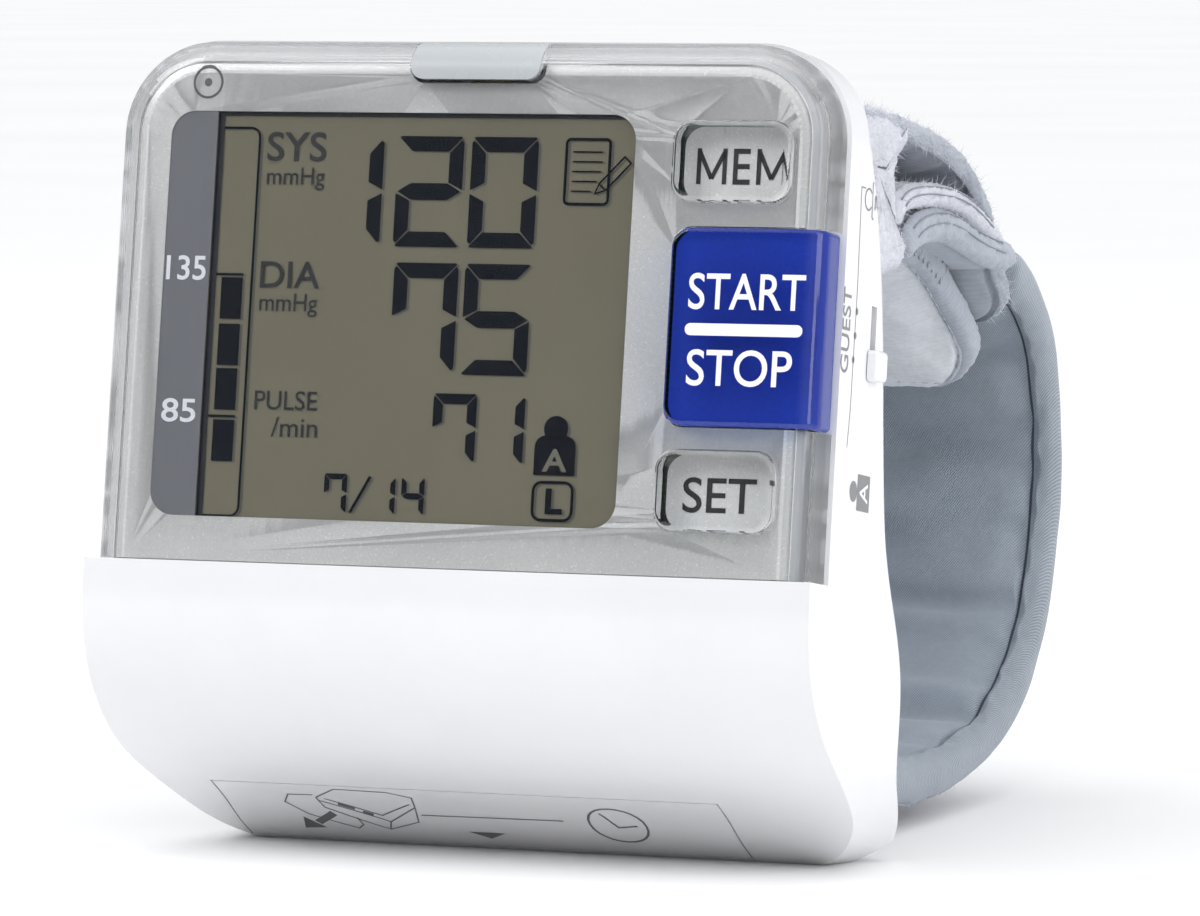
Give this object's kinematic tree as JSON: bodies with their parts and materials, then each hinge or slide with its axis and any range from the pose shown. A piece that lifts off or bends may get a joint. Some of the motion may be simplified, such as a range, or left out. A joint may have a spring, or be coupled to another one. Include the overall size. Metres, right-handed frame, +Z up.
{
  "type": "wrist blood pressure monitor",
  "caption": "Wrist blood pressure monitor: a rounded case with display, three keys and a user switch, on a padded curved cuff with a hook-and-loop closing flap.",
  "frame": {"origin": "on the table under the middle of the device's bounding box, as it stands leaning back on its cuff", "axes": "+X to the right as the display is read, +Y from the display towards the wrist, +Z up; the display leans back 8.5 degrees"},
  "size_m": [0.0796, 0.1048, 0.0829],
  "materials": {
    "air_bladder": "soft polyurethane bladder",
    "air_manifold": "moulded air tee",
    "air_tubes": "silicone hose",
    "band_binding": "edge binding",
    "band_cover": "grey-lilac loop pile",
    "band_crown": "grey-lilac loop pile",
    "band_curler": "springy polypropylene sheet",
    "band_liner": "grey-blue twill",
    "band_padding": "foam padding",
    "battery_box": "moulded bay walls",
    "battery_contacts": "nickel-plated sheet",
    "battery_cover": "glossy white moulded ABS",
    "battery_high": "sleeved AAA cell",
    "battery_low": "sleeved AAA cell",
    "battery_springs": "nickel-plated spring wire",
    "board_screws": "steel screws",
    "buzzer": "black buzzer",
    "case_screws": "steel screws",
    "cuff_nipple": "moulded nipple",
    "cuff_plate": "moulded clamp plate",
    "cuff_screws": "steel screws",
    "display_cover": "clear acrylic",
    "flap_binding": "edge binding",
    "flap_cover": "grey-lilac loop pile",
    "flap_liner": "grey-blue twill",
    "flap_padding": "foam padding",
    "front_frame": "dark moulded plastic",
    "hook_patch": "hook tape",
    "indicator_led": "clear amber LED",
    "indicator_lens": "translucent white lens",
    "lcd_backlight": "light diffuser",
    "lcd_glass": "olive-grey liquid crystal display",
    "lcd_holder": "white moulded plastic",
    "main_board": "green circuit board",
    "main_case": "glossy white moulded ABS",
    "mem_button": "clear acrylic key",
    "microcontroller": "black moulded chip",
    "pad_binding": "edge binding",
    "pad_cover": "grey-lilac pile",
    "pad_liner": "grey-blue twill",
    "pressure_sensor": "white sensor body",
    "pump_eccentric": "steel shaft and cam",
    "pump_head": "white pump head",
    "pump_motor": "steel motor can",
    "release_valve": "steel valve coil case",
    "set_button": "clear acrylic key",
    "silver_panel": "silver-grey flake paint",
    "start_stop_button": "clear blue acrylic key",
    "tact_switches": "black switches",
    "top_band": "grey-lilac loop pile",
    "user_switch": "white slide knob",
    "user_switch_body": "slide switch",
    "valve_plunger": "steel plunger",
    "zebra_strip": "conductive rubber"
  },
  "bodies": {
    "device": {"air_bladder": "air_bladder", "air_manifold": "air_manifold", "air_tubes": "air_tubes", "band_binding": "band_binding", "band_cover": "band_cover", "band_crown": "band_crown", "band_curler": "band_curler", "band_liner": "band_liner", "band_padding": "band_padding", "battery_box": "battery_box", "battery_contacts": "battery_contacts", "battery_high": "battery_high", "battery_low": "battery_low", "battery_springs": "battery_springs", "board_screws": "board_screws", "buzzer": "buzzer", "case_screws": "case_screws", "cuff_nipple": "cuff_nipple", "cuff_plate": "cuff_plate", "cuff_screws": "cuff_screws", "display_cover": "display_cover", "front_frame": "front_frame", "indicator_led": "indicator_led", "indicator_lens": "indicator_lens", "lcd_backlight": "lcd_backlight", "lcd_glass": "lcd_glass", "lcd_holder": "lcd_holder", "main_board": "main_board", "main_case": "main_case", "microcontroller": "microcontroller", "pad_binding": "pad_binding", "pad_cover": "pad_cover", "pad_liner": "pad_liner", "pressure_sensor": "pressure_sensor", "pump_head": "pump_head", "pump_motor": "pump_motor", "release_valve": "release_valve", "silver_panel": "silver_panel", "tact_switches": "tact_switches", "top_band": "top_band", "user_switch_body": "user_switch_body", "zebra_strip": "zebra_strip"},
    "start_key": {"start_stop_button": "start_stop_button"},
    "mem_key": {"mem_button": "mem_button"},
    "set_key": {"set_button": "set_button"},
    "user_slide": {"user_switch": "user_switch"},
    "battery_door": {"battery_cover": "battery_cover"},
    "pump_rotor": {"pump_eccentric": "pump_eccentric"},
    "valve_pin": {"valve_plunger": "valve_plunger"},
    "cuff_flap": {"flap_cover": "flap_cover", "flap_padding": "flap_padding", "flap_liner": "flap_liner", "flap_binding": "flap_binding", "hook_patch": "hook_patch"}
  },
  "joints": [
    {"name": "start_stop_press", "type": "slide", "parent": "device", "child": "start_key", "axis": [0, 0.989, -0.1478], "range_m": [0, 0.0007], "stiffness_N_per_m": 2500},
    {"name": "mem_press", "type": "slide", "parent": "device", "child": "mem_key", "axis": [0, 0.989, -0.1478], "range_m": [0, 0.0007], "stiffness_N_per_m": 2500},
    {"name": "set_press", "type": "slide", "parent": "device", "child": "set_key", "axis": [0, 0.989, -0.1478], "range_m": [0, 0.0007], "stiffness_N_per_m": 2500},
    {"name": "user_select", "type": "slide", "parent": "device", "child": "user_slide", "axis": [0, 0.1478, 0.989], "range_m": [0, 0.0048]},
    {"name": "battery_cover_off", "type": "slide", "parent": "device", "child": "battery_door", "axis": [0, -0.4741, -0.8805], "range_m": [0, 0.02]},
    {"name": "pump_spin", "type": "hinge", "parent": "device", "child": "pump_rotor", "pos_m": [-0.00063, -0.03477, 0.04311], "axis": [1, 0, 0], "continuous": true},
    {"name": "valve_stroke", "type": "slide", "parent": "device", "child": "valve_pin", "axis": [-1, 0, 0], "range_m": [0, 0.0008], "stiffness_N_per_m": 60},
    {"name": "cuff_flap_open", "type": "hinge", "parent": "device", "child": "cuff_flap", "pos_m": [-0.00063, 0.04793, 0.01851], "axis": [-1, 0, 0], "range_deg": [0, 80]}
  ]
}
